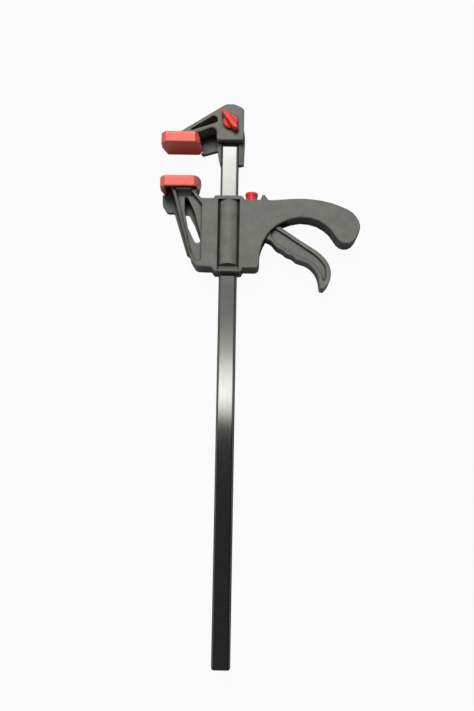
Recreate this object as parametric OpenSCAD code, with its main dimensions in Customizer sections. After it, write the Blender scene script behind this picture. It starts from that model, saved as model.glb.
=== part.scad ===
// One-handed bar clamp with a trigger grip, lying on its side.
// +Z is up out of the side that carries the lock knob. The bar runs along Y,
// the jaws reach towards -X and the grip towards +X. The origin is the middle
// of the fixed jaw's clamping face. The modules are drawn from the middle of
// the bar, which is the throat depth away along +X.

/* [Bar] */
// Width of the bar
bar_w = 20; // [19:0.5:20]
// Thickness of the bar
bar_t = 6; // [5.5:0.1:6]
// Radius on the bar's long edges
bar_edge = 2.4; // [0.5:0.1:2.8]
// How far the bar runs below the fixed jaw's clamping face
bar_below = 564; // [300:1:700]
// How far the bar runs into the fixed jaw, above that face
bar_above = 37; // [35:0.5:37]

/* [Jaws] */
// Distance from the middle of the clamping faces to the middle of the bar
throat = 54; // [50:1:60]
// Gap between the two clamping faces as the clamp lies
jaw_gap = 38.2; // [20:0.1:100]
// Depth of a pad across the jaw
pad_depth = 43; // [40:0.5:44]
// Height of a pad
pad_h = 12.3; // [11.5:0.1:13]
// Depth of the jaws and of the grip housing
body_depth = 28; // [27:0.5:30]
// Radius on the long edges of the jaws, the housing and the trigger
body_edge = 1; // [0.5:0.1:1]

/* [Mechanism] */
// Radius of the pin that the trigger turns on
trigger_pin_r = 3; // [2.5:0.1:3.2]
// Width of the trigger across the grip
trigger_w = 20; // [16:0.5:20]
// Angle of the brake plate when the button is up
brake_tilt = 4; // [3:0.5:4]
// Thickness of the brake plate and of the drive plate
plate_t = 4; // [3:0.1:4]
// Radius of the release button
button_r = 7; // [6:0.1:7]
// Radial clearance of a pin that turns in its bore
pin_fit = 0.05; // [0.02:0.01:0.1]
// Gap between the bar and what slides along it
slide_fit = 0.35; // [0.3:0.01:0.5]

/* [Hidden] */
$fn = 48;
eps = 0.01;

plastic_grey = [0.22, 0.22, 0.21];
plastic_dark = [0.17, 0.17, 0.165];
soft_red = [0.86, 0.20, 0.20];
bright_red = [0.80, 0.10, 0.12];
steel = [0.62, 0.63, 0.64];
spring_steel = [0.50, 0.51, 0.53];

half = body_depth / 2;

// ---------------------------------------------------------------- outlines

function unit(v) = v / norm(v);

// Points of the arc that rounds corner p between its neighbours a and b
function corner(a, p, b, r, steps = 3) =
    let (
        u = unit(a - p),
        v = unit(b - p),
        open = acos(max(-1, min(1, u * v))) / 2
    )
    r <= 0 || open > 89 ? [p] :
    let (
        centre = p + unit(u + v) * r / sin(open),
        from = p + u * r / tan(open) - centre,
        to = p + v * r / tan(open) - centre,
        turn = 180 - 2 * open,
        side = from[0] * to[1] - from[1] * to[0] > 0 ? 1 : -1
    )
    [for (i = [0 : steps])
        let (t = side * turn * i / steps)
        centre + [from[0] * cos(t) - from[1] * sin(t), from[0] * sin(t) + from[1] * cos(t)]];

// Length that rounding corner i of outline c takes off each side next to it
function taken(c, i) =
    let (
        n = len(c),
        p = [c[i][0], c[i][1]],
        a = c[(i + n - 1) % n],
        b = c[(i + 1) % n],
        u = unit([a[0], a[1]] - p),
        v = unit([b[0], b[1]] - p)
    )
    c[i][2] <= 0 ? 0 : c[i][2] / tan(acos(max(-1, min(1, u * v))) / 2);

// Closed outline from corners given as [x, y, radius]
function outline(c) = [
    for (i = [0 : len(c) - 1])
        let (
            a = c[(i + len(c) - 1) % len(c)],
            b = c[(i + 1) % len(c)],
            side = norm([b[0] - c[i][0], b[1] - c[i][1]])
        )
        each
            assert(taken(c, i) + taken(c, (i + 1) % len(c)) < side, str("too round at ", c[i]))
            corner([a[0], a[1]], [c[i][0], c[i][1]], [b[0], b[1]], c[i][2])
];

// Smooth open curve through points, returned as corners of no radius
function curve(p, steps = 4) = [
    for (i = [0 : len(p) - 2])
        let (
            p0 = p[max(i - 1, 0)],
            p1 = p[i],
            p2 = p[i + 1],
            p3 = p[min(i + 2, len(p) - 1)]
        )
        for (k = [0 : (i == len(p) - 2 ? steps : steps - 1)])
            let (
                t = k / steps,
                q = 0.5 * (2 * p1 + (p2 - p0) * t + (2 * p0 - 5 * p1 + 4 * p2 - p3) * t * t
                    + (3 * p1 - p0 - 3 * p2 + p3) * t * t * t)
            )
            [q[0], q[1], 0]
];

// A list in the opposite order
function reversed(p) = [for (i = [len(p) - 1 : -1 : 0]) p[i]];

// The outline moved inwards by d; the outline runs anticlockwise
function inset(p, d) = [
    for (i = [0 : len(p) - 1])
        let (
            before = unit(p[i] - p[(i + len(p) - 1) % len(p)]),
            after = unit(p[(i + 1) % len(p)] - p[i]),
            n1 = [-before[1], before[0]],
            n2 = [-after[1], after[0]]
        )
        p[i] + d * (n1 + n2) / (1 + n1 * n2)
];

// Plate from z_lo to z_hi with round edges of radius r_lo and r_hi
module soft_plate(p, z_lo, z_hi, r_lo, r_hi, steps = 2) {
    n = len(p);
    low = r_lo > 0 ? [for (k = [0 : steps - 1])
        let (a = 90 * k / steps) [z_lo + r_lo * (1 - sin(a)) , r_lo * (1 - cos(a))]] : [];
    high = r_hi > 0 ? [for (k = [0 : steps - 1])
        let (a = 90 * k / steps) [z_hi - r_hi * (1 - sin(a)), r_hi * (1 - cos(a))]] : [];
    rings = concat(
        [[z_lo, r_lo]],
        [for (k = [len(low) - 1 : -1 : 0]) low[k]],
        high,
        [[z_hi, r_hi]]
    );
    points = [for (ring = rings) for (q = inset(p, ring[1])) [q[0], q[1], ring[0]]];
    last = len(rings) - 1;
    faces = concat(
        [[for (i = [0 : n - 1]) i]],
        [for (k = [0 : last - 1]) for (i = [0 : n - 1])
            let (j = (i + 1) % n) [k * n + j, k * n + i, (k + 1) * n + i, (k + 1) * n + j]],
        [[for (i = [n - 1 : -1 : 0]) last * n + i]]
    );
    polyhedron(points, faces, convexity = 8);
}

// Rounded rim that sits on the edge of a plate's face at z_face
module rim(p, z_face, r, up) {
    sink = 0.02;
    overlap = 0.3;
    section = [
        [sink, z_face - up * (r + overlap)],
        for (a = [0, 30, 60]) [sink + r * (1 - cos(a)), z_face - up * r * (1 - sin(a))],
        [sink + r, z_face - up * sink / 2],
        [sink + r + overlap, z_face - up * sink / 2],
        [sink + r + overlap, z_face - up * (r + overlap)]
    ];
    n = len(p);
    m = len(section);
    points = [for (c = section) for (q = inset(p, c[0])) [q[0], q[1], c[1]]];
    faces = [for (k = [0 : m - 1]) for (i = [0 : n - 1])
        let (
            j = (i + 1) % n,
            a = k * n,
            b = ((k + 1) % m) * n,
            quad = [a + i, b + i, b + j, a + j]
        )
        up > 0 ? quad : reversed(quad)];
    polyhedron(points, faces, convexity = 8);
}

// Plate with round edges of radius r at its upper face, its lower face or both
module rounded_plate(p, z_lo, z_hi, r, low = true, high = true) {
    plate(p, z_lo + (low ? r : 0), z_hi - (high ? r : 0));
    plate(inset(p, r), z_lo, z_hi);
    if (high)
        rim(p, z_hi, r, 1);
    if (low)
        rim(p, z_lo, r, -1);
}

// Straight-sided plate of the same outline
module plate(p, z_lo, z_hi) {
    translate([0, 0, z_lo])
        linear_extrude(z_hi - z_lo)
            polygon(p);
}

// Bar-shaped passage along Y, with the given gap round the bar
module bar_passage(y_lo, y_hi, gap) {
    translate([-bar_w / 2 - gap, y_lo, -bar_t / 2 - gap])
        cube([bar_w + 2 * gap, y_hi - y_lo, bar_t + 2 * gap]);
}

// Cylinder along Y
module along_y(r, y_lo, y_hi) {
    translate([0, y_hi, 0])
        rotate([90, 0, 0])
            cylinder(r = r, h = y_hi - y_lo);
}

// Middle of a coil's wire at t, which runs from 0 to 1
function coil_middle(coil_r, wire_r, length, turns, t) = [
    coil_r * cos(360 * turns * t),
    wire_r + (length - 2 * wire_r) * t,
    coil_r * sin(360 * turns * t)
];

// Least gap of a coil to itself, between points at least half a turn apart
function coil_gap(coil_r, wire_r, length, turns) =
    let (
        rings = turns * 12,
        c = [for (i = [0 : rings]) coil_middle(coil_r, wire_r, length, turns, i / rings)]
    )
    min([for (i = [0 : rings - 6]) for (j = [i + 6 : rings]) norm(c[i] - c[j])]) - 2 * wire_r;

// Coil along +Y from the origin, one unbroken wire with its ends cut square
module coil(coil_r, wire_r, length, turns) {
    rings = turns * 12;
    sides = 6;
    gap = coil_gap(coil_r, wire_r, length, turns);
    echo(str("least gap of the coil to itself, mm: ", gap));
    assert(gap > 0.4);
    points = [for (i = [0 : rings]) for (s = [0 : sides - 1])
        let (
            t = i / rings,
            out = [cos(360 * turns * t), 0, sin(360 * turns * t)],
            a = 360 * s / sides
        )
        coil_middle(coil_r, wire_r, length, turns, t) + wire_r * (cos(a) * out + sin(a) * [0, 1, 0])];
    faces = concat(
        [[for (s = [0 : sides - 1]) s]],
        [for (i = [0 : rings - 1]) for (s = [0 : sides - 1])
            let (
                a = i * sides + s,
                b = i * sides + (s + 1) % sides,
                c = (i + 1) * sides + (s + 1) % sides,
                d = (i + 1) * sides + s
            )
            each [[b, a, c], [a, d, c]]],
        [[for (s = [sides - 1 : -1 : 0]) rings * sides + s]]
    );
    polyhedron(points, faces, convexity = 12);
}

// What stays with the bar is drawn from the middle of the bar
module at_bar() {
    translate([throat, 0, 0])
        children();
}

// What rides with the moving jaw is drawn from that jaw's clamping face
module at_slide() {
    translate([throat, -jaw_gap, 0])
        children();
}

// ---------------------------------------------------------------- bar

module bar() {
    flat_w = bar_w - 2 * bar_edge;
    flat_t = bar_t - 2 * bar_edge;
    corner_cut = 1.8;
    length = bar_below + bar_above;
    color(steel)
        at_bar()
            difference() {
                translate([0, bar_above, 0])
                    rotate([90, 0, 0])
                        linear_extrude(length)
                            union() {
                                square([flat_w, bar_t], center = true);
                                square([bar_w, flat_t], center = true);
                                for (x = [-flat_w / 2, flat_w / 2], y = [-flat_t / 2, flat_t / 2])
                                    translate([x, y]) circle(bar_edge, $fn = 24);
                            }
                for (x = [-1, 1], y = [-bar_below, bar_above])
                    translate([x * bar_w / 2, y, 0])
                        rotate([0, 0, 45])
                            cube([corner_cut * sqrt(2), corner_cut * sqrt(2), bar_t + 1], center = true);
                translate([lock_x, lock_y, -bar_t])
                    cylinder(r = lock_pin_r + pin_fit, h = 2 * bar_t);
            }
}

// ---------------------------------------------------------------- pads

pad_outer = -76.3;        // outer end of a pad
pad_inner = -31.6;        // end of a pad nearest the bar
pad_wall = 3.6;           // soft layer over the foot
pocket = [-70.5, -37.6];  // ends of the pocket that takes the foot
pad_mouth = 17.3;         // half width of that pocket

// Outline of a pad seen square to the clamping face, as X and Z
function pad_outline() =
    let (z = pad_depth / 2)
    outline([
        [pad_outer + 5.2, -z, 2], [pad_inner - 2.6, -z, 3.5], [pad_inner, -10, 6], [pad_inner, 6, 6],
        [pad_inner - 2, z - 5.9, 3], [pad_inner - 6.7, z, 2], [pad_outer + 5.1, z, 2],
        [pad_outer, z - 7.5, 2], [pad_outer, -1, 4]
    ]);

// Pad with its clamping face at Y = 0 and its open back at Y = pad_h
module jaw_pad() {
    color(soft_red)
        difference() {
            rotate([90, 0, 0])
                mirror([0, 0, 1])
                    soft_plate(pad_outline(), 0, pad_h, 1, 1);
            translate([pocket[0], pad_wall, -pad_mouth])
                cube([pocket[1] - pocket[0], pad_h, 2 * pad_mouth]);
            plate([
                [pad_inner + 0.2, 1.6], [pad_inner + 10, 1.6], [pad_inner + 10, pad_h + 1.1],
                [pad_inner - 4.8, pad_h + 1.1]
            ], -pad_depth, pad_depth);
        }
}

module fixed_jaw_pad() {
    at_bar()
        jaw_pad();
}

module moving_jaw_pad() {
    at_slide()
        mirror([0, 1, 0])
            jaw_pad();
}

// ---------------------------------------------------------------- fixed jaw

lock_x = 0;
lock_y = 26;
lock_pin_r = 3.2;
jaw_side = 15.2;      // right flank of the block over the bar
jaw_under = 5.4;      // underside of that block
finger_end = -19.9;   // lower end of the fingers that hug the bar
foot_clear = 0.1;     // fit of a foot in its pad

fixed_arm = outline([
    [-59.3, pad_h, 0], [-41.5, pad_h, 0], [-36.5, 13.4, 2.5], [-14.8, 22.5, 5],
    [-14.8, jaw_under, 2], [jaw_side, jaw_under, 2], [jaw_side, 42.4, 5],
    [4, 47.8, 14], [-5.5, 47.2, 9]
]);

// Slot that tapers from a round end at c1 to a point at c2
module taper_slot(c1, r1, c2, r2, z_lo, z_hi) {
    d = c2 - c1;
    lean = acos((r1 - r2) / norm(d));
    dir = atan2(d[1], d[0]);
    plate([
        c1 + r1 * [cos(dir + lean), sin(dir + lean)],
        c1 + r1 * [cos(dir - lean), sin(dir - lean)],
        c2 + r2 * [cos(dir - lean), sin(dir - lean)],
        c2 + r2 * [cos(dir + lean), sin(dir + lean)]
    ], z_lo, z_hi);
    for (c = [[c1, r1], [c2, r2]])
        translate([c[0][0], c[0][1], z_lo])
            cylinder(r = c[1], h = z_hi - z_lo);
}

// Finger that hugs the bar and thins away from it, on side +1 or -1
module finger(p, z, side) {
    grip = bar_w / 2 - 0.1;
    reach = 7;
    thin = 1.6;
    intersection() {
        plate(p, -z, z);
        translate([0, 30, 0])
            rotate([90, 0, 0])
                linear_extrude(60)
                    polygon([
                        [side * grip, z], [side * grip, -z], [side * (grip + reach), -thin],
                        [side * (grip + reach), thin]
                    ]);
    }
}

module fixed_jaw() {
    finger_z = 5.5;
    back_z = -21;
    grip = bar_w / 2;
    left_finger = [
        [-grip, 8], [-14.6, 8], [-13.6, -6], [-11.8, -15.3], [-10.5, finger_end], [-grip, finger_end]
    ];
    right_finger = [
        [grip, 24], [grip, finger_end], [15.8, finger_end], [16.6, 2], [16.6, 13], [jaw_side - 0.5, 24]
    ];
    back_wall = [
        [-32.9, -0.25], [-30.3, -2.1], [-14.2, 2.6], [-14.2, 24], [-36.2, 15.2], [-35.7, pad_h + 0.1],
        [-31.25, 1.7], [-31.25, -0.25]
    ];
    foot_lo = pocket[0] + foot_clear;
    foot_hi = pocket[1] - foot_clear;
    color(plastic_grey)
        at_bar()
            difference() {
                union() {
                    rounded_plate(fixed_arm, -half, half, body_edge);
                    finger(left_finger, finger_z, -1);
                    finger(right_finger, finger_z, 1);
                    plate(back_wall, back_z, -half + 1.5);
                    translate([foot_lo, pad_wall + foot_clear, -pad_mouth + foot_clear])
                        cube([foot_hi - foot_lo, pad_h - pad_wall + 0.4, 2 * (pad_mouth - foot_clear)]);
                }
                taper_slot([-18.3, 29.2], 4.4, [-43, 17.2], 0.9, -half - 1, half + 1);
                bar_passage(finger_end - 1, bar_above, 0);
                translate([lock_x, lock_y, -half - 1])
                    cylinder(r = lock_pin_r + pin_fit, h = body_depth + 2);
            }
}

module lock_pin() {
    color(spring_steel)
        at_bar()
            translate([lock_x, lock_y, -half - 2])
                rotate_extrude()
                    polygon([
                        [0, 0], [lock_pin_r - 0.4, 0], [lock_pin_r, 0.4], [lock_pin_r, 0.7],
                        [lock_pin_r - 0.5, 0.7], [lock_pin_r - 0.5, 1.5], [lock_pin_r, 1.5],
                        [lock_pin_r, body_depth + 6], [0, body_depth + 6]
                    ]);
}

// Spring ring in a groove near the rear end of the lock pin
module retaining_clip() {
    clip_z = -half - 1.3;
    color(spring_steel)
        at_bar()
            difference() {
                translate([lock_x, lock_y, clip_z])
                    cylinder(r = 5.4, h = 0.8);
                translate([lock_x, lock_y, clip_z - 1])
                    cylinder(r = lock_pin_r - 0.5, h = 3);
                translate([lock_x, lock_y - 1.8, clip_z - 1])
                    cube([8, 3.6, 3]);
            }
}

module lock_knob() {
    base = half + 0.3;
    disc_r = 8;
    wing_angle = 126;
    wing_ends = [-9.9, 11.2];
    color(bright_red)
        at_bar()
            difference() {
                translate([lock_x, lock_y, base])
                    union() {
                        rotate_extrude()
                            polygon([[0, 0], [disc_r, 0], [disc_r, 3.4], [disc_r - 1.2, 4.6], [0, 5]]);
                        rotate([0, 0, wing_angle])
                            hull() {
                                for (x = wing_ends) {
                                    translate([x, 0, 1.5]) cylinder(r = 3.1, h = 5.5, $fn = 24);
                                    translate([x * 0.9, 0, 8]) cylinder(r = 2.1, h = 1.5, $fn = 24);
                                }
                                cylinder(r = 4.2, h = 7.5, $fn = 24);
                            }
                    }
                translate([lock_x, lock_y, base - 1])
                    cylinder(r = lock_pin_r, h = half + 4 - base + 1);
            }
}

// ---------------------------------------------------------------- housing

pivot = [38, -50];          // trigger pin
fulcrum = [-15, -35];       // nose of the brake plate
button_x = 25;              // middle of the release button
top_y = -24.4;              // top of the housing beside the button
sleeve_top = -20;           // top and bottom of the sleeve round the bar
sleeve_end = -106;
window_w = 12;              // half width of the window over the bar
window_top = -24.2;
window_end = -103.6;
screw_spots = [[-25, -32], [-25, -92], [30.6, -88], [58, -34], [100, -34], [131, -52]];
screw_r = 1.5;

handle_curve = [
    [34.2, -95], [34.8, -83], [38.6, -71], [46.5, -58.7], [60, -49.2], [79, -43.8], [97.8, -47.1],
    [111.5, -56.8], [119.5, -68.4], [127.6, -72.7], [136.3, -70.2], [142.7, -60.2], [144, -51],
    [139.6, -41.6], [130.6, -33.9], [111, -26.4], [93, -23.2], [76, -22.5], [60, -23.6], [49, -24.6]
];

housing_outline = outline(concat(
    [
        [-63, -pad_h, 0], [-40.7, -91.7, 9], [-34.5, -101, 6], [-18, -101.3, 2], [-14.6, sleeve_end, 2],
        [14.2, sleeve_end, 2], [16, -101.7, 2], [34.2, -101.7, 5]
    ],
    curve(handle_curve, 2),
    [
        [43.2, -24.6, 2.2], [39.2, -18.7, 1.6], [36.8, -18.7, 1.6], [34.6, top_y, 2],
        [17.6, top_y, 2], [14.2, sleeve_top, 2], [-15.4, sleeve_top, 2], [-17, -23.2, 2],
        [-30.5, -23.2, 2.5], [-35.5, -17.8, 2], [-36.6, -pad_h, 0]
    ]
));

handle_hollow = outline([
    [68, -40.8, 4], [82, -38.5, 20], [103, -43.5, 20], [116, -55, 12], [122.5, -66.5, 5], [133, -66.5, 5],
    [140, -54, 10], [135, -42, 8], [120, -32, 20], [97, -27, 30], [68, -27, 4]
]);

panel_deep = 7;

arm_panel = outline([
    [-61, -8, 0], [-41, -84.5, 14], [-36, -95, 3.5], [-29.4, -95, 3.2], [-29.4, -30, 4], [-41, -16, 3],
    [-43, -8, 0]
]);

arm_slot = outline([
    [-49.2, -19.8, 1.2], [-45.2, -21.6, 1.5], [-38, -36.5, 30], [-31, -62, 12], [-31, -73.6, 3],
    [-36.6, -72.4, 3.5], [-44.6, -56, 25], [-49.2, -36, 20]
]);

// The slot is shorter and narrower where it leaves the rear shell
rear_slot = outline([
    [-48.9, -35.4, 1.2], [-44.2, -36.6, 2], [-37.6, -49.4, 30], [-31.3, -66.5, 5], [-31.3, -73.3, 2.8],
    [-36.6, -72.1, 3.5], [-44.4, -55.6, 25]
]);

heel = outline([
    [-75.2, -pad_h - 0.2, 0], [-74.9, -24.5, 2.5], [-69.3, -32.6, 3], [-40, -33.6, 1], [-38.2, -18, 3],
    [-38.6, -pad_h - 0.2, 0]
]);

// Rib that runs down the arm from the heel
heel_rib = [[-62.5, -31], [-61.2, -34], [-46.4, -81], [-42.2, -83.6], [-41.4, -80], [-56, -30]];

brake_room = [[-13, -26], [33.5, -26], [33.5, -38], [30, -40], [30, -46], [-13, -46]];
nose_pocket = outline([
    [-17.5, -32.6, 2], [-12, -32.6, 0], [-12, -37.4, 0], [-17.5, -37.4, 2]
]);
drive_room = [[-16, -49], [30.5, -49], [30.5, -64], [27.8, -66], [27.8, -96], [-16, -96]];
trigger_room = [
    [29.4, -42.6], [29.4, -59], [35.5, -72.5], [50, -82], [72, -60], [64, -46.2], [44, -40.4], [33, -40.4]
];

// Spaces inside the two shells
module housing_rooms() {
    room_z = 7.2;
    trigger_z = trigger_w / 2 + 0.5;
    wall = 3;
    bar_passage(sleeve_end - 1, sleeve_top + 1, slide_fit);
    plate(brake_room, -room_z, room_z);
    plate(drive_room, -room_z, room_z);
    plate(trigger_room, -trigger_z, trigger_z);
    plate(nose_pocket, -room_z, room_z);
    translate([button_x, 0, 0]) {
        along_y(button_r - 0.25, -30, top_y + 6);
        along_y(button_r + 1.8, -32, -26);
    }
    translate([pivot[0], pivot[1], -half + 2])
        cylinder(r = trigger_pin_r, h = body_depth - 4);
    difference() {
        plate(handle_hollow, -half + wall, half - wall);
        for (s = [4, 5])
            translate([screw_spots[s][0], screw_spots[s][1], -half])
                cylinder(r = 4.2, h = body_depth);
    }
}

module front_housing() {
    panel_z = half - panel_deep;
    color(plastic_grey)
        at_slide() {
            difference() {
                union() {
                    rounded_plate(housing_outline, 0, half, body_edge, low = false);
                    moving_foot(0.05, pad_mouth - foot_clear);
                }
                housing_rooms();
                plate(arm_panel, panel_z, half + 1);
                plate(arm_slot, -1, half + 1);
                translate([-window_w, window_end, 3])
                    cube([2 * window_w, window_top - window_end, half]);
                for (s = screw_spots)
                    translate([s[0], s[1], -1])
                        cylinder(r = screw_r, h = 9);
            }
            foot_gusset(panel_z);
        }
}

// Bracket that carries the foot on the recessed panel of the arm
module foot_gusset(panel_z) {
    across = [-58.3, -41.8];
    foot_z = pad_mouth - foot_clear;
    translate([across[0], 0, 0])
        rotate([90, 0, 90])
            linear_extrude(across[1] - across[0])
                polygon([
                    [-19.8, panel_z - 1], [-19.8, panel_z], [-15.9, panel_z + 4], [-14.4, foot_z],
                    [-pad_h - 0.2, foot_z], [-pad_h - 0.2, panel_z - 1]
                ]);
}

module rear_housing() {
    head_z = -half + 2.7;
    color(plastic_dark)
        at_slide()
            difference() {
                union() {
                    rounded_plate(housing_outline, -half, 0, body_edge, high = false);
                    plate(heel, -21, -half + 1.5);
                    plate(heel_rib, -21, -half + 1);
                    moving_foot(-pad_mouth + foot_clear, -0.05);
                }
                housing_rooms();
                plate(arm_slot, -half + 3, 1);
                plate(rear_slot, -half - 0.5, -half + 4);
                for (s = screw_spots)
                    translate([s[0], s[1], 0]) {
                        translate([0, 0, -half - 1]) cylinder(r = screw_r + 0.1, h = half + 2);
                        translate([0, 0, -half - 1]) cylinder(r = 3.3, h = head_z + half + 1);
                    }
            }
}

// Foot of the moving jaw, which fills part of the pad's pocket
module moving_foot(z_lo, z_hi) {
    foot_lo = -64;
    foot_hi = pocket[1] - foot_clear;
    translate([foot_lo, -pad_h - 0.4, z_lo])
        cube([foot_hi - foot_lo, pad_h - pad_wall - foot_clear + 0.4, z_hi - z_lo]);
}

// Cover in the front window: a flange with a half barrel over the bar
module barrel_cover() {
    flange_lo = 6.9;
    flange_hi = 7.7;
    barrel_r = 14.2;
    barrel_z = -0.8;
    barrel_end = -98.4;
    end_slope = 2.4;
    wall = 1.6;
    fit = 0.1;
    across = 2 * (window_w - fit);
    color(plastic_grey)
        at_slide()
            difference() {
                union() {
                    translate([-across / 2, window_end + fit, flange_lo])
                        cube([across, window_top - window_end - 2 * fit, flange_hi - flange_lo]);
                    intersection() {
                        translate([0, 0, barrel_z])
                            along_y(barrel_r, barrel_end, window_top - fit);
                        translate([-across / 2, barrel_end, flange_lo])
                            cube([across, window_top - barrel_end, 20]);
                        translate([-20, 0, 0])
                            rotate([90, 0, 90])
                                linear_extrude(40)
                                    polygon([
                                        [barrel_end, flange_lo - 1], [barrel_end, flange_hi],
                                        [barrel_end + end_slope, 14], [0, 14], [0, flange_lo - 1]
                                    ]);
                    }
                }
                intersection() {
                    translate([0, 0, barrel_z])
                        along_y(barrel_r - wall, barrel_end + wall + end_slope, window_top - wall);
                    translate([-window_w + wall, barrel_end, flange_lo - 1])
                        cube([2 * (window_w - wall), window_top - barrel_end, 20]);
                }
            }
}

module housing_screws() {
    head_top = -half + 0.7;
    head_low = -half + 2.7;
    cross = [3.4, 0.9, 2.4];
    color(spring_steel)
        at_slide()
            for (s = screw_spots)
                translate([s[0], s[1], 0])
                    difference() {
                        union() {
                            translate([0, 0, head_low - eps])
                                cylinder(r = screw_r, h = 8 - head_low);
                            translate([0, 0, head_top])
                                cylinder(r = 2.9, h = head_low - head_top);
                        }
                        for (a = [0, 90])
                            rotate([0, 0, a])
                                translate([0, 0, head_top])
                                    cube(cross, center = true);
                    }
}

// ---------------------------------------------------------------- release

module release_button() {
    rise = 13.6;
    cap = 4.2;
    neck = 0.6;
    crown = 1.5;
    flange_top = -26.3;
    color(bright_red)
        at_slide()
            translate([button_x, 0, 0]) {
                translate([0, flange_top, 0])
                    rotate([-90, 0, 0])
                        rotate_extrude()
                            polygon([
                                [0, -1.7], [button_r + 1.5, -1.7], [button_r + 1.5, 0], [button_r - neck, 0],
                                [button_r - neck, rise - cap], [button_r, rise - cap],
                                [button_r, rise - crown], [button_r - crown / 2, rise - 0.3 * crown],
                                [button_r - 1.4 * crown, rise], [0, rise]
                            ]);
                along_y(4, -29.6, flange_top - 1);
            }
}

// Flat steel plate with a slot for the bar; u runs from its nose at the origin
module slotted_plate(length, slot_lo, slot_hi, nose) {
    plate_z = 6.5;
    difference() {
        union() {
            translate([nose ? 0 : -plate_t / 2, -plate_t / 2, -plate_z])
                cube([length + (nose ? 0 : plate_t / 2), plate_t, 2 * plate_z]);
            if (nose)
                translate([0, 0, -plate_z])
                    cylinder(r = plate_t / 2, h = 2 * plate_z);
        }
        translate([slot_lo, -plate_t, -bar_t / 2 - slide_fit])
            cube([slot_hi - slot_lo, 2 * plate_t, bar_t + 2 * slide_fit]);
    }
}

module brake_plate() {
    nose_to_bar = -bar_w / 2 - fulcrum[0];
    color(spring_steel)
        at_slide()
            translate([fulcrum[0], fulcrum[1], 0])
                rotate([0, 0, brake_tilt])
                    slotted_plate(46, nose_to_bar - 0.3, nose_to_bar + bar_w + 0.4, true);
}

module brake_spring() {
    seat = -46;
    under_plate = fulcrum[1] + (button_x - fulcrum[0]) * tan(brake_tilt) - plate_t / 2 / cos(brake_tilt);
    color(steel)
        at_slide()
            translate([button_x, seat + 0.05, 0])
                coil(3.4, 0.5, under_plate - seat - 0.4, 5);
}

// ---------------------------------------------------------------- trigger

arm_tip = [23, -52.9];
tip_r = 2.2;

trigger_outline = outline(concat(
    [[31.5, -47, 3], [38, -42.4, 4]],
    [for (q = curve([[46, -46.7], [59.8, -55.8], [78.5, -68.5], [96, -79.6], [104.8, -87.2], [109.9, -94.4],
        [112.4, -102.2], [112.1, -110.6], [109.4, -117.6], [105.9, -121.9]], 2)) q],
    [[104.6, -123.4, 1.4], [100.6, -122.6, 1.4]],
    curve([[99.9, -117.5], [98.4, -109.5], [95.2, -103], [90.6, -97.6], [85, -94], [79.5, -92.1],
        [74.5, -90.4], [71.2, -87.6], [68.3, -85.9], [64.4, -84.6], [61.4, -82.4], [59, -80.3],
        [55.6, -78.9], [52, -76.4], [49.4, -73], [46.6, -70]], 2),
    [[40.6, -67.4, 4], [31, -54.5, 5]]
));

trigger_panel = outline([
    [47, -52.5, 2], [66, -64.8, 0], [97, -85.8, 14], [107.4, -97, 16], [107.8, -109, 10],
    [104.6, -118.4, 1.6], [102, -106.8, 12], [93, -94.8, 10], [79.5, -88.6, 10], [66, -82.4, 10],
    [52.5, -73.2, 4], [46, -65, 4]
]);

module trigger() {
    w = trigger_w / 2;
    arm_w = 6.5;
    panel_deep = 3.2;
    inner_arm = outline([
        [36, -47.5, 0], [31.5, -49.4, 0], [24, -50.9, 1], [24, -54.7, 1], [28.5, -54.9, 0], [35, -57.4, 0]
    ]);
    color(plastic_grey)
        at_slide()
            difference() {
                union() {
                    rounded_plate(reversed(trigger_outline), -w, w, body_edge);
                    plate(inner_arm, -arm_w, arm_w);
                    translate([arm_tip[0], arm_tip[1], -arm_w])
                        cylinder(r = tip_r, h = 2 * arm_w);
                }
                translate([pivot[0], pivot[1], -w - 1])
                    cylinder(r = trigger_pin_r + pin_fit, h = 2 * w + 2);
                for (z = [w - panel_deep, -w - 1])
                    plate(trigger_panel, z, z + panel_deep + 1);
            }
}

module trigger_pin() {
    color(steel)
        at_slide()
            translate([pivot[0], pivot[1], -half + 2])
                cylinder(r = trigger_pin_r, h = body_depth - 4);
}

drive_top = -55.4;
drive_spring_x = 19;

module drive_plate() {
    left = -13;
    color(spring_steel)
        at_slide()
            translate([left, drive_top - plate_t / 2, 0])
                slotted_plate(40, -bar_w / 2 - left - 0.4, bar_w / 2 - left + 0.4, false);
}

module drive_spring() {
    seat = -96;
    color(steel)
        at_slide()
            translate([drive_spring_x, seat + 0.05, 0])
                coil(4.7, 0.75, drive_top - plate_t - seat - 0.2, 9);
}

// ---------------------------------------------------------------- nodes

bar();
fixed_jaw();
fixed_jaw_pad();
lock_pin();
lock_knob();
retaining_clip();
front_housing();
rear_housing();
barrel_cover();
moving_jaw_pad();
housing_screws();
release_button();
brake_plate();
brake_spring();
trigger();
trigger_pin();
drive_plate();
drive_spring();
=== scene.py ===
import math

import bmesh
import bpy
from mathutils import Matrix, Vector


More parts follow.
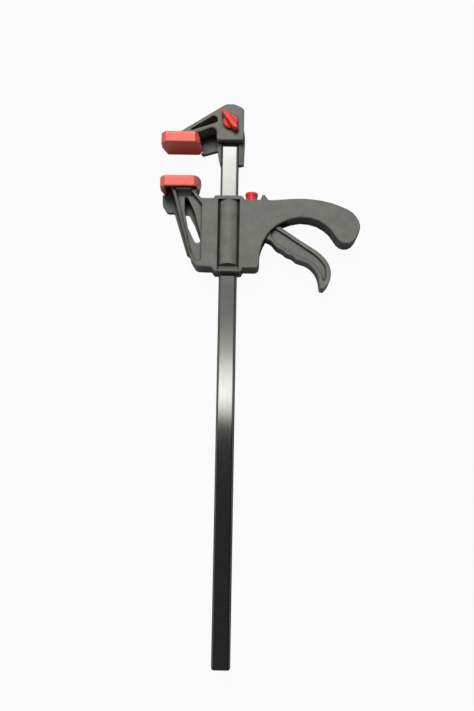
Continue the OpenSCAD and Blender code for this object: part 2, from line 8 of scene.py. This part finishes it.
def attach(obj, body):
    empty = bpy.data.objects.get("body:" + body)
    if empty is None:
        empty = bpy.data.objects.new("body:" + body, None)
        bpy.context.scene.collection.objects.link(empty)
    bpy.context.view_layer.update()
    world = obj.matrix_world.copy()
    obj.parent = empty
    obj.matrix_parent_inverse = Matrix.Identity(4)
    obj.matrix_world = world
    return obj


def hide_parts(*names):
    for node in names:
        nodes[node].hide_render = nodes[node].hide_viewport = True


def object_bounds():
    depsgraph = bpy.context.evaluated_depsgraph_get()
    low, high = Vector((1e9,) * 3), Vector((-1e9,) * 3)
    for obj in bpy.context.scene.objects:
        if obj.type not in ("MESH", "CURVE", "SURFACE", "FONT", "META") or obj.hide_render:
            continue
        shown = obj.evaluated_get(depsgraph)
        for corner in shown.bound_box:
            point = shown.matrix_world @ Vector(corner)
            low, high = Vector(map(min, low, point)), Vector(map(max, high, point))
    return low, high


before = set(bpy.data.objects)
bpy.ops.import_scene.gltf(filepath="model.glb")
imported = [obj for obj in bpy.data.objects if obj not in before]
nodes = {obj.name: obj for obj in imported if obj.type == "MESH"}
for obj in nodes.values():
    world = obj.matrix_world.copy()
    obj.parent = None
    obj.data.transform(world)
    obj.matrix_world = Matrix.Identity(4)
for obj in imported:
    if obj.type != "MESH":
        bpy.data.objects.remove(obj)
cad_box = [list(corner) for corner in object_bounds()]
scene = bpy.context.scene
scene.view_settings.view_transform = "Standard"

# ---- Camera --------------------------------------------------------------
# The clamp lies flat with its lock knob up. A long lens looks down on it,
# tilted a little towards the fixed jaw, so the undersides of the pads show.

bar_sides = [vert.co.x for vert in nodes["bar"].data.vertices]
BAR_X = (min(bar_sides) + max(bar_sides)) / 2
BAR_HALF = (max(bar_sides) - min(bar_sides)) / 2
PICTURE_HEIGHT = 711
LENS_PIXELS = 1000.0
SENSOR_MM = 36.0
# Where the right and the upper edge of the picture lie, and the lens's place
TO_RIGHT = Vector((0.99986, 0.01655, -0.00099))
TO_TOP = Vector((-0.01620, 0.98784, 0.15462))
LENS_PLACE = (BAR_X + 0.015425, -0.40203, 1.07250)

camera_data = bpy.data.cameras.new("camera")
camera_data.sensor_fit = "VERTICAL"
camera_data.sensor_height = SENSOR_MM
camera_data.lens = LENS_PIXELS * SENSOR_MM / PICTURE_HEIGHT
camera = bpy.data.objects.new("camera", camera_data)
scene.collection.objects.link(camera)
stand = Matrix((TO_RIGHT, TO_TOP, TO_RIGHT.cross(TO_TOP))).transposed().to_4x4()
stand.translation = LENS_PLACE
camera.matrix_world = stand
scene.camera = camera

# ---- Table ---------------------------------------------------------------
# The clamp lies a hair above a wide matt table. The paint is grey under the
# lamps, and the camera sees it through a white glow that keeps the shadow.

TABLE_GAP = 0.0004
TABLE_REACH = 6.0
TABLE_GREY = (0.30, 0.30, 0.30, 1)
WHITE = (1, 1, 1, 1)
GLOW_SHARE = 0.95


def new_material(name):
    """An empty node material, with its list of nodes and its list of links."""
    material = bpy.data.materials.new(name)
    material.use_nodes = True
    material.node_tree.nodes.clear()
    return material, material.node_tree.nodes, material.node_tree.links


def add_node(tree_nodes, kind, inputs=None, **settings):
    """A shader node of this kind with these settings and with these inputs set."""
    made = tree_nodes.new("ShaderNode" + kind)
    for setting, value in settings.items():
        setattr(made, setting, value)
    for socket, value in (inputs or {}).items():
        made.inputs[socket].default_value = value
    return made


def table_white():
    """Grey paint for the lamps, and mostly white glow for the camera."""
    material, tree_nodes, links = new_material("table_white")
    paint = add_node(tree_nodes, "BsdfDiffuse", {"Color": TABLE_GREY})
    glow = add_node(tree_nodes, "Emission", {"Color": WHITE, "Strength": 1.0})
    path = add_node(tree_nodes, "LightPath")
    share = add_node(tree_nodes, "Math", {1: GLOW_SHARE}, operation="MULTIPLY")
    mix = add_node(tree_nodes, "MixShader")
    out = add_node(tree_nodes, "OutputMaterial")
    links.new(path.outputs["Is Camera Ray"], share.inputs[0])
    links.new(share.outputs[0], mix.inputs["Fac"])
    links.new(paint.outputs[0], mix.inputs[1])
    links.new(glow.outputs[0], mix.inputs[2])
    links.new(mix.outputs[0], out.inputs["Surface"])
    return material


table_mesh = bpy.data.meshes.new("table")
bm = bmesh.new()
bmesh.ops.create_grid(bm, x_segments=1, y_segments=1, size=TABLE_REACH)
bmesh.ops.translate(bm, vec=(0, 0, cad_box[0][2] - TABLE_GAP), verts=bm.verts)
bm.to_mesh(table_mesh)
bm.free()
table_mesh.materials.append(table_white())
table = bpy.data.objects.new("table", table_mesh)
scene.collection.objects.link(table)

# ---- Lamps and room ------------------------------------------------------
# A large soft lamp hangs high over the clamp, off to the fixed jaw's end, and
# a weak one to the left. The room is dark with a lit ceiling, which shows only
# in the polished steel and in the gloss of the plastic.

LAMP_SIZE = 1.2
CLAMP_MIDDLE = Vector((0.06, -0.12, 0.0))
MIRRORED_STRENGTH = 10.0
FILL_STRENGTH = 0.10
# Level of the mirrored room by angle: degrees from straight up towards the
# fixed jaw, and level. The lit ceiling starts at about 5 degrees.
ROOM_LEVELS = [
    (-90, 0.020), (-20, 0.0035), (0.6, 0.0035), (3.5, 0.005), (4.8, 0.0065), (5.2, 0.018),
    (5.9, 0.135), (6.6, 0.19), (7.6, 0.155), (9.0, 0.066), (10.3, 0.036), (12.0, 0.025),
    (14.0, 0.033), (18.0, 0.130), (19.6, 0.150), (22.0, 0.20), (60, 0.22), (75, 0.14), (90, 0.08),
]
ROOM_TINT = (1.0, 1.01, 0.94)
# Share of that level from the far left of the room, at 0, to the far right, at
# 1. The dark sides are what the long edges of the bar mirror.
SIDE_SHARES = [(0.0, 0.06), (0.28, 0.10), (0.42, 1.0), (0.54, 1.0), (0.59, 0.16), (1.0, 0.02)]


def soft_lamp(name, watts, place):
    """A square lamp at this place that points at the clamp and isn't mirrored in it."""
    data = bpy.data.lights.new(name, "AREA")
    data.energy = watts
    data.shape = "SQUARE"
    data.size = LAMP_SIZE
    lamp = bpy.data.objects.new(name, data)
    scene.collection.objects.link(lamp)
    lamp.location = place
    lamp.rotation_euler = (CLAMP_MIDDLE - Vector(place)).to_track_quat("-Z", "Y").to_euler()
    lamp.visible_glossy = False


def fill_ramp(ramp_node, stops):
    """Gives a colour ramp these stops, each a position and a colour."""
    elements = ramp_node.color_ramp.elements
    while len(elements) < len(stops):
        elements.new(0.5)
    for element, (position, colour) in zip(elements, stops):
        element.position = position
        element.color = (*colour, 1)


def light_room():
    """The world: white to the camera, a weak fill on matt surfaces, the room in mirrors."""
    world = bpy.data.worlds.new("studio")
    scene.world = world
    world.use_nodes = True
    tree_nodes, links = world.node_tree.nodes, world.node_tree.links
    tree_nodes.clear()
    quarter = math.radians(90)
    direction = add_node(tree_nodes, "TexCoord")
    split = add_node(tree_nodes, "SeparateXYZ")
    angle = add_node(tree_nodes, "Math", operation="ARCTAN2")
    along_place = add_node(tree_nodes, "MapRange", {"From Min": -quarter, "From Max": quarter})
    along = add_node(tree_nodes, "ValToRGB")
    fill_ramp(along, [
        ((degrees + 90) / 180, [level * tint for tint in ROOM_TINT])
        for degrees, level in ROOM_LEVELS
    ])
    across_place = add_node(tree_nodes, "MapRange", {"From Min": -1.0, "From Max": 1.0})
    across = add_node(tree_nodes, "ValToRGB")
    fill_ramp(across, [(position, [share] * 3) for position, share in SIDE_SHARES])
    dimmed = add_node(
        tree_nodes, "Mix", {"Factor": 1.0}, data_type="RGBA", blend_type="MULTIPLY"
    )
    mirrored = add_node(tree_nodes, "Background", {"Strength": MIRRORED_STRENGTH})
    fill = add_node(tree_nodes, "Background", {"Color": WHITE, "Strength": FILL_STRENGTH})
    seen = add_node(tree_nodes, "Background", {"Color": WHITE, "Strength": 1.0})
    path = add_node(tree_nodes, "LightPath")
    by_gloss = add_node(tree_nodes, "MixShader")
    by_camera = add_node(tree_nodes, "MixShader")
    out = add_node(tree_nodes, "OutputWorld")
    links.new(direction.outputs["Generated"], split.inputs[0])
    links.new(split.outputs["Y"], angle.inputs[0])
    links.new(split.outputs["Z"], angle.inputs[1])
    links.new(angle.outputs[0], along_place.inputs["Value"])
    links.new(along_place.outputs[0], along.inputs[0])
    links.new(split.outputs["X"], across_place.inputs["Value"])
    links.new(across_place.outputs[0], across.inputs[0])
    links.new(along.outputs["Color"], dimmed.inputs["A"])
    links.new(across.outputs["Color"], dimmed.inputs["B"])
    links.new(dimmed.outputs["Result"], mirrored.inputs["Color"])
    links.new(path.outputs["Is Glossy Ray"], by_gloss.inputs["Fac"])
    links.new(fill.outputs[0], by_gloss.inputs[1])
    links.new(mirrored.outputs[0], by_gloss.inputs[2])
    links.new(path.outputs["Is Camera Ray"], by_camera.inputs["Fac"])
    links.new(by_gloss.outputs[0], by_camera.inputs[1])
    links.new(seen.outputs[0], by_camera.inputs[2])
    links.new(by_camera.outputs[0], out.inputs["Surface"])


light_room()
soft_lamp("key", 66, (-0.22, 1.0, 2.15))
soft_lamp("side", 4, (-2.0, -0.3, 1.1))

# ---- Bar -----------------------------------------------------------------
# Flat cold-drawn steel bar, polished along its length. Its wide faces fall
# away a little near the long edges, which carry a painted dark reflection.

# How far from the bar's middle line the faces start to fall and the painted dark edge starts
FALL_FROM, FALL_TO = 0.58 * BAR_HALF, BAR_HALF
DARK_EDGE_FROM, DARK_EDGE_TO = 0.78 * BAR_HALF, 0.95 * BAR_HALF
FALL_DEPTH = 0.0005
# Colour, metal share and roughness of the painted dark reflection on the long edges
PAINTED_DARK_EDGE_COLOUR = (0.075, 0.076, 0.072, 1)
DARK_EDGE_METAL = 0.35
DARK_EDGE_ROUGHNESS = 0.34


def new_group(name, takes, gives):
    """An empty node group with these input and output sockets, and its two end nodes."""
    group = bpy.data.node_groups.new(name, "ShaderNodeTree")
    for socket, kind in takes.items():
        group.interface.new_socket(socket, in_out="INPUT", socket_type=kind)
    for socket in gives:
        group.interface.new_socket(socket, in_out="OUTPUT", socket_type="NodeSocketFloat")
    return group, group.nodes.new("NodeGroupInput"), group.nodes.new("NodeGroupOutput")


def drawn_steel_group():
    """Node group of a drawn surface: Lines, packed along each axis by Streak, and Clouds."""
    group, given, result = new_group(
        "drawn_steel", {"Streak": "NodeSocketVector"}, ["Lines", "Clouds"]
    )
    tree_nodes, links = group.nodes, group.links
    coord = add_node(tree_nodes, "TexCoord")
    stretch = add_node(tree_nodes, "Mapping")
    lines = add_node(tree_nodes, "TexNoise", {"Scale": 1.0, "Detail": 4.0})
    clouds = add_node(tree_nodes, "TexNoise", {"Scale": 60.0, "Detail": 5.0})
    links.new(coord.outputs["Object"], stretch.inputs["Vector"])
    links.new(given.outputs["Streak"], stretch.inputs["Scale"])
    links.new(stretch.outputs[0], lines.inputs["Vector"])
    links.new(coord.outputs["Object"], clouds.inputs["Vector"])
    links.new(lines.outputs["Fac"], result.inputs["Lines"])
    links.new(clouds.outputs["Fac"], result.inputs["Clouds"])
    return group


DRAWN_STEEL = drawn_steel_group()


def steel(name, dark, light, rough, streak, depth):
    """Steel whose tone wanders from dark to light, with streaks in its gloss and surface.

    rough is the range of its roughness, streak how many lines lie on a metre
    along X, Y and Z, and depth how deep they are.
    """
    material, tree_nodes, links = new_material(name)
    texture = add_node(tree_nodes, "Group", {"Streak": streak}, node_tree=DRAWN_STEEL)
    colour = add_node(tree_nodes, "Mix", {"A": (*dark, 1), "B": (*light, 1)}, data_type="RGBA")
    roughness = add_node(
        tree_nodes, "MapRange",
        {"From Min": 0.3, "From Max": 0.7, "To Min": rough[0], "To Max": rough[1]},
    )
    bump = add_node(tree_nodes, "Bump", {"Strength": 0.35, "Distance": depth})
    shader = add_node(tree_nodes, "BsdfPrincipled", {"Metallic": 1.0})
    out = add_node(tree_nodes, "OutputMaterial")
    links.new(texture.outputs["Clouds"], colour.inputs["Factor"])
    links.new(colour.outputs["Result"], shader.inputs["Base Color"])
    links.new(texture.outputs["Lines"], roughness.inputs["Value"])
    links.new(roughness.outputs["Result"], shader.inputs["Roughness"])
    links.new(texture.outputs["Lines"], bump.inputs["Height"])
    links.new(bump.outputs["Normal"], shader.inputs["Normal"])
    links.new(shader.outputs[0], out.inputs["Surface"])
    return material


def add_fall_and_dark_edges(material):
    """Adds the fall of the bar's faces and a painted dark reflection on its long edges to its
    steel.
    """
    tree_nodes, links = material.node_tree.nodes, material.node_tree.links
    shader = tree_nodes["Principled BSDF"]
    coord = add_node(tree_nodes, "TexCoord")
    split = add_node(tree_nodes, "SeparateXYZ")
    from_middle = add_node(tree_nodes, "Math", {1: BAR_X}, operation="SUBTRACT")
    distance = add_node(tree_nodes, "Math", operation="ABSOLUTE")
    fall = add_node(tree_nodes, "MapRange", {"From Min": FALL_FROM, "From Max": FALL_TO})
    rounded = add_node(tree_nodes, "Math", {1: 2.0}, operation="POWER")
    slope = add_node(tree_nodes, "Bump", {"Strength": 1.0, "Distance": FALL_DEPTH}, invert=True)
    # Painted dark reflection: towards the long edges the steel turns dark, less metallic and duller
    dark_edge_mask = add_node(tree_nodes, "MapRange", {"From Min": DARK_EDGE_FROM, "From Max": DARK_EDGE_TO})
    colour = add_node(tree_nodes, "Mix", {"B": PAINTED_DARK_EDGE_COLOUR}, data_type="RGBA")
    metal = add_node(tree_nodes, "MapRange", {"To Min": 1.0, "To Max": DARK_EDGE_METAL})
    roughness = add_node(tree_nodes, "MapRange", {"To Max": DARK_EDGE_ROUGHNESS})
    links.new(coord.outputs["Object"], split.inputs[0])
    links.new(split.outputs["X"], from_middle.inputs[0])
    links.new(from_middle.outputs[0], distance.inputs[0])
    links.new(distance.outputs[0], fall.inputs["Value"])
    links.new(fall.outputs["Result"], rounded.inputs[0])
    links.new(rounded.outputs[0], slope.inputs["Height"])
    links.new(tree_nodes["Bump"].outputs["Normal"], slope.inputs["Normal"])
    links.new(slope.outputs["Normal"], shader.inputs["Normal"])
    links.new(distance.outputs[0], dark_edge_mask.inputs["Value"])
    links.new(dark_edge_mask.outputs["Result"], colour.inputs["Factor"])
    links.new(tree_nodes["Mix"].outputs["Result"], colour.inputs["A"])
    links.new(colour.outputs["Result"], shader.inputs["Base Color"])
    links.new(dark_edge_mask.outputs["Result"], metal.inputs["Value"])
    links.new(metal.outputs["Result"], shader.inputs["Metallic"])
    links.new(dark_edge_mask.outputs["Result"], roughness.inputs["Value"])
    links.new(tree_nodes["Map Range"].outputs["Result"], roughness.inputs["To Min"])
    links.new(roughness.outputs["Result"], shader.inputs["Roughness"])


def finish_node(node, material):
    """Gives a CAD node this material."""
    nodes[node].data.materials.clear()
    nodes[node].data.materials.append(material)


bar_steel = steel(
    "bar_steel", dark=(0.47, 0.47, 0.465), light=(0.60, 0.60, 0.59), rough=(0.04, 0.075),
    streak=(1100, 16, 1100), depth=0.0000015,
)
add_fall_and_dark_edges(bar_steel)
finish_node("bar", bar_steel)

# ---- Plates and springs inside the grip ----------------------------------
# Two stamped steel plates sit on the bar, which passes through their slots:
# one drives the jaw along it and one holds it. Beside the bar, each has a coil
# spring of drawn wire that sets it back.

plate_steel = steel(
    "plate_steel", dark=(0.36, 0.36, 0.37), light=(0.46, 0.46, 0.47), rough=(0.34, 0.48),
    streak=(500, 500, 500), depth=0.000008,
)
for node in ["brake_plate", "drive_plate"]:
    finish_node(node, plate_steel)

spring_wire = steel(
    "spring_wire", dark=(0.42, 0.42, 0.43), light=(0.52, 0.52, 0.54), rough=(0.22, 0.32),
    streak=(1200, 1200, 1200), depth=0.000003,
)
for node in ["brake_spring", "drive_spring"]:
    finish_node(node, spring_wire)

# ---- Fixed jaw -----------------------------------------------------------
# One moulding in dark grey glass-filled nylon, matt from the grain of the
# mould, with a painted highlight on its rims and painted shade in its inner
# corners. It slides over the end of the bar and is pinned through it.

# Half the thickness of the jaw and of the grip, and how round their rims are
BODY_HALF = 0.014
BODY_RIM = 0.0004
NYLON_ROUGH = (0.40, 0.52)
NYLON_GRAIN = (2600, 0.00006)
# Colour of the painted highlight on the nylon's edges
NYLON_EDGE_HIGHLIGHT = (0.24, 0.24, 0.22)
# Points closer than MERGE_GAP become one, and so do faces that turn by less
# than FLAT_DEGREES. Those that turn by more than SHARP_DEGREES have a crisp edge.
MERGE_GAP = 2e-6
FLAT_DEGREES = 0.5
SHARP_DEGREES = 34


def fine_grain_group():
    """Node group of a moulded surface, whose grain is as fine as Scale says.

    Its outputs, in order: the grain's height, its stains, a painted highlight
    along the edges in patches, and painted shade in the inner corners.
    """
    group, given, result = new_group(
        "fine_grain", {"Scale": "NodeSocketFloat"}, ["Height", "Patch", "Painted Highlight", "Painted Shade"]
    )
    tree_nodes, links = group.nodes, group.links
    coord = add_node(tree_nodes, "TexCoord")
    grain = add_node(tree_nodes, "TexNoise", {"Detail": 3.0, "Roughness": 0.6})
    patch = add_node(tree_nodes, "TexNoise", {"Scale": 90.0, "Detail": 6.0, "Roughness": 0.65})
    rounded = add_node(tree_nodes, "Bevel", {"Radius": 0.0009}, samples=4)
    surface = add_node(tree_nodes, "NewGeometry")
    agreement = add_node(tree_nodes, "VectorMath", operation="DOT_PRODUCT")
    # Painted highlight: paler where the rounded normal parts from the true one, along the edges, in
    # patches
    edge_highlight = add_node(tree_nodes, "MapRange", {"From Min": 0.985, "From Max": 0.86})
    patchy_edge_highlight = add_node(tree_nodes, "Math", operation="MULTIPLY")
    # Painted shade: darker where nearby surfaces close in, in inner corners
    nearby = add_node(tree_nodes, "AmbientOcclusion", {"Distance": 0.0042}, samples=8)
    corner_shade_mask = add_node(tree_nodes, "MapRange", {"From Min": 0.90, "From Max": 0.50})
    links.new(coord.outputs["Object"], grain.inputs["Vector"])
    links.new(given.outputs["Scale"], grain.inputs["Scale"])
    links.new(grain.outputs["Fac"], result.inputs["Height"])
    links.new(coord.outputs["Object"], patch.inputs["Vector"])
    links.new(patch.outputs["Fac"], result.inputs["Patch"])
    links.new(rounded.outputs["Normal"], agreement.inputs[0])
    links.new(surface.outputs["Normal"], agreement.inputs[1])
    links.new(agreement.outputs["Value"], edge_highlight.inputs["Value"])
    links.new(edge_highlight.outputs["Result"], patchy_edge_highlight.inputs[0])
    links.new(patch.outputs["Fac"], patchy_edge_highlight.inputs[1])
    links.new(patchy_edge_highlight.outputs[0], result.inputs["Painted Highlight"])
    links.new(nearby.outputs["AO"], corner_shade_mask.inputs["Value"])
    links.new(corner_shade_mask.outputs["Result"], result.inputs["Painted Shade"])
    return group


FINE_GRAIN = fine_grain_group()


def plastic(name, dark, light, edge_highlight, rough, grain, specular=0.5, coat=0.0, corner_shade_tone=0.25):
    """Moulded plastic: its colour wanders from dark to light, with a painted highlight on its edges
    and painted shade in its inner corners.

    rough is the range of its roughness and grain how fine and how deep its grain is.
    The colour given for the edges is their painted highlight, and the last argument
    the share of the dark colour that is left under the painted shade in inner corners.
    """
    material, tree_nodes, links = new_material(name)
    texture = add_node(tree_nodes, "Group", {"Scale": grain[0]}, node_tree=FINE_GRAIN)
    spread = add_node(tree_nodes, "MapRange", {"From Min": 0.35, "From Max": 0.65})
    colour = add_node(tree_nodes, "Mix", {"A": (*dark, 1), "B": (*light, 1)}, data_type="RGBA")
    # Painted highlight on the edges, then painted shade in the inner corners
    with_edge_highlight = add_node(tree_nodes, "Mix", {"B": (*edge_highlight, 1)}, data_type="RGBA")
    corner_shade_colour = [value * corner_shade_tone for value in dark]
    with_corner_shade = add_node(tree_nodes, "Mix", {"B": (*corner_shade_colour, 1)}, data_type="RGBA")
    gloss = add_node(tree_nodes, "MapRange", {"To Min": rough[0], "To Max": rough[1]})
    bump = add_node(tree_nodes, "Bump", {"Strength": 0.6, "Distance": grain[1]})
    shader = add_node(
        tree_nodes, "BsdfPrincipled",
        {"Specular IOR Level": specular, "Coat Weight": coat, "Coat Roughness": 0.38},
    )
    out = add_node(tree_nodes, "OutputMaterial")
    links.new(texture.outputs["Patch"], spread.inputs["Value"])
    links.new(spread.outputs["Result"], colour.inputs["Factor"])
    links.new(colour.outputs["Result"], with_edge_highlight.inputs["A"])
    links.new(texture.outputs["Painted Highlight"], with_edge_highlight.inputs["Factor"])
    links.new(with_edge_highlight.outputs["Result"], with_corner_shade.inputs["A"])
    links.new(texture.outputs["Painted Shade"], with_corner_shade.inputs["Factor"])
    links.new(with_corner_shade.outputs["Result"], shader.inputs["Base Color"])
    links.new(spread.outputs["Result"], gloss.inputs["Value"])
    links.new(gloss.outputs["Result"], shader.inputs["Roughness"])
    links.new(texture.outputs["Height"], bump.inputs["Height"])
    links.new(bump.outputs["Normal"], shader.inputs["Normal"])
    links.new(shader.outputs[0], out.inputs["Surface"])
    return material


def smooth_by_angle(bm, degrees):
    """Smooth faces, with a sharp edge wherever two faces meet at more than this."""
    for face in bm.faces:
        face.smooth = True
    for edge in bm.edges:
        folded = len(edge.link_faces) == 2
        edge.smooth = folded and edge.calc_face_angle(0) < math.radians(degrees)


def rim_edges(bm, height, play=1e-5, flat=0.99, upright=0.2):
    """Edges between a flat face at this Z and the upright walls next to it."""
    found = []
    for edge in bm.edges:
        if len(edge.link_faces) != 2:
            continue
        if max(abs(vert.co.z - height) for vert in edge.verts) > play:
            continue
        lean = [abs(face.normal.z) for face in edge.link_faces]
        if max(lean) > flat and min(lean) < upright:
            found.append(edge)
    return found


def outer_edges(bm, degrees, shortest=0.004):
    """Long edges that stand out where two faces meet at more than this."""
    return [
        edge for edge in bm.edges
        if len(edge.link_faces) == 2
        and edge.calc_length() > shortest
        and edge.calc_face_angle_signed(0) > math.radians(degrees)
    ]


def moulded(node, piece, body, material, rims=(), radius=0, soften_from=None):
    """The CAD node as one closed mesh, which takes the node's place.

    The rims at these heights get this radius, and so does every long edge that
    stands out by more than soften_from degrees.
    """
    mesh = bpy.data.meshes.new(piece)
    bm = bmesh.new()
    bm.from_mesh(nodes[node].data)
    bmesh.ops.remove_doubles(bm, verts=bm.verts, dist=MERGE_GAP)
    bmesh.ops.dissolve_limit(
        bm, angle_limit=math.radians(FLAT_DEGREES), use_dissolve_boundaries=False,
        verts=bm.verts, edges=bm.edges,
    )
    weight = bm.edges.layers.float.new("bevel_weight_edge")
    rounded = [edge for height in rims for edge in rim_edges(bm, height)]
    if soften_from:
        rounded += outer_edges(bm, soften_from)
    for edge in rounded:
        edge[weight] = 1.0
    smooth_by_angle(bm, SHARP_DEGREES)
    bm.to_mesh(mesh)
    bm.free()
    mesh.materials.clear()
    mesh.materials.append(material)
    made = bpy.data.objects.new(piece, mesh)
    scene.collection.objects.link(made)
    if radius:
        bevel = made.modifiers.new("soft edges", "BEVEL")
        bevel.limit_method = "WEIGHT"
        bevel.width = radius
        bevel.segments = 3
        bevel.use_clamp_overlap = False
    normals = made.modifiers.new("even normals", "WEIGHTED_NORMAL")
    normals.keep_sharp = True
    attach(made, body)
    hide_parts(node)


body_plastic = plastic(
    "body_plastic", dark=(0.130, 0.135, 0.118), light=(0.172, 0.178, 0.156),
    edge_highlight=NYLON_EDGE_HIGHLIGHT, rough=NYLON_ROUGH, grain=NYLON_GRAIN,
)
moulded(
    "fixed_jaw", "jaw_block", "bar_and_fixed_jaw", body_plastic,
    [-BODY_HALF, BODY_HALF], BODY_RIM,
)

# ---- Grip shells ---------------------------------------------------------
# The grip and the moving jaw's arm are two shells of the same nylon, split
# on the middle plane of the bar and screwed together from the rear.

moulded(
    "front_housing", "front_shell", "moving_jaw", body_plastic,
    [BODY_HALF], BODY_RIM,
)
moulded(
    "rear_housing", "rear_shell", "moving_jaw", body_plastic,
    [-BODY_HALF], BODY_RIM,
)

# ---- Bar cover -----------------------------------------------------------
# A half barrel of the same nylon with a thin flange. It closes the window in
# the front shell, over the bar.

moulded("barrel_cover", "bar_cover", "moving_jaw", body_plastic)

# ---- Trigger -------------------------------------------------------------
# Lever with a wavy edge for the fingers, moulded in nylon and coloured a little paler than the
# grip.
# It turns on a steel pin that is held between the shells.

TRIGGER_HALF = 0.010
TRIGGER_RIM = 0.0003

trigger_plastic = plastic(
    "trigger_plastic", dark=(0.138, 0.142, 0.127), light=(0.180, 0.185, 0.166),
    edge_highlight=NYLON_EDGE_HIGHLIGHT, rough=NYLON_ROUGH, grain=NYLON_GRAIN,
)
moulded(
    "trigger", "trigger_lever", "trigger", trigger_plastic,
    [-TRIGGER_HALF, TRIGGER_HALF], TRIGGER_RIM,
)

# ---- Pads ----------------------------------------------------------------
# Soft red caps pushed over the feet of the two jaws. They are moulded in
# slightly glossy soft PVC, with rounded long edges.

PAD_EDGE = 0.0013
PAD_EDGE_DEGREES = 20

# With a painted highlight on their edges and painted shade in their inner corners, as on the nylon
pad_soft = plastic(
    "pad_soft", dark=(0.74, 0.110, 0.078), light=(0.79, 0.125, 0.090), edge_highlight=(0.82, 0.17, 0.13),
    rough=(0.28, 0.32), grain=(900, 0.00003), specular=0.8, coat=0.5, corner_shade_tone=0.6,
)
moulded(
    "fixed_jaw_pad", "upper_pad", "bar_and_fixed_jaw", pad_soft,
    radius=PAD_EDGE, soften_from=PAD_EDGE_DEGREES,
)
moulded(
    "moving_jaw_pad", "lower_pad", "moving_jaw", pad_soft,
    radius=PAD_EDGE, soften_from=PAD_EDGE_DEGREES,
)

# ---- Knob and button -----------------------------------------------------
# The wing knob on the pin of the jaw's lock, and the release button on top of
# the grip. Both are moulded in glossy red plastic.

# With a painted highlight on the edges and painted shade in the inner corners, as on the nylon
red_plastic = plastic(
    "red_plastic", dark=(0.68, 0.034, 0.034), light=(0.78, 0.050, 0.046), edge_highlight=(0.80, 0.09, 0.08),
    rough=(0.22, 0.30), grain=(700, 0.00002), corner_shade_tone=0.6,
)
moulded("lock_knob", "wing_knob", "lock", red_plastic)
moulded("release_button", "push_button", "button", red_plastic)

# ---- Pins, clip and screws -----------------------------------------------
# Plain zinc-plated steel: the lock's pin and the clip on its end, the pin of
# the trigger, and the six screws of the grip.

pin_steel = steel(
    "pin_steel", dark=(0.50, 0.51, 0.52), light=(0.62, 0.62, 0.62), rough=(0.26, 0.38),
    streak=(900, 900, 900), depth=0.000004,
)
for node in ["lock_pin", "retaining_clip", "trigger_pin", "housing_screws"]:
    finish_node(node, pin_steel)
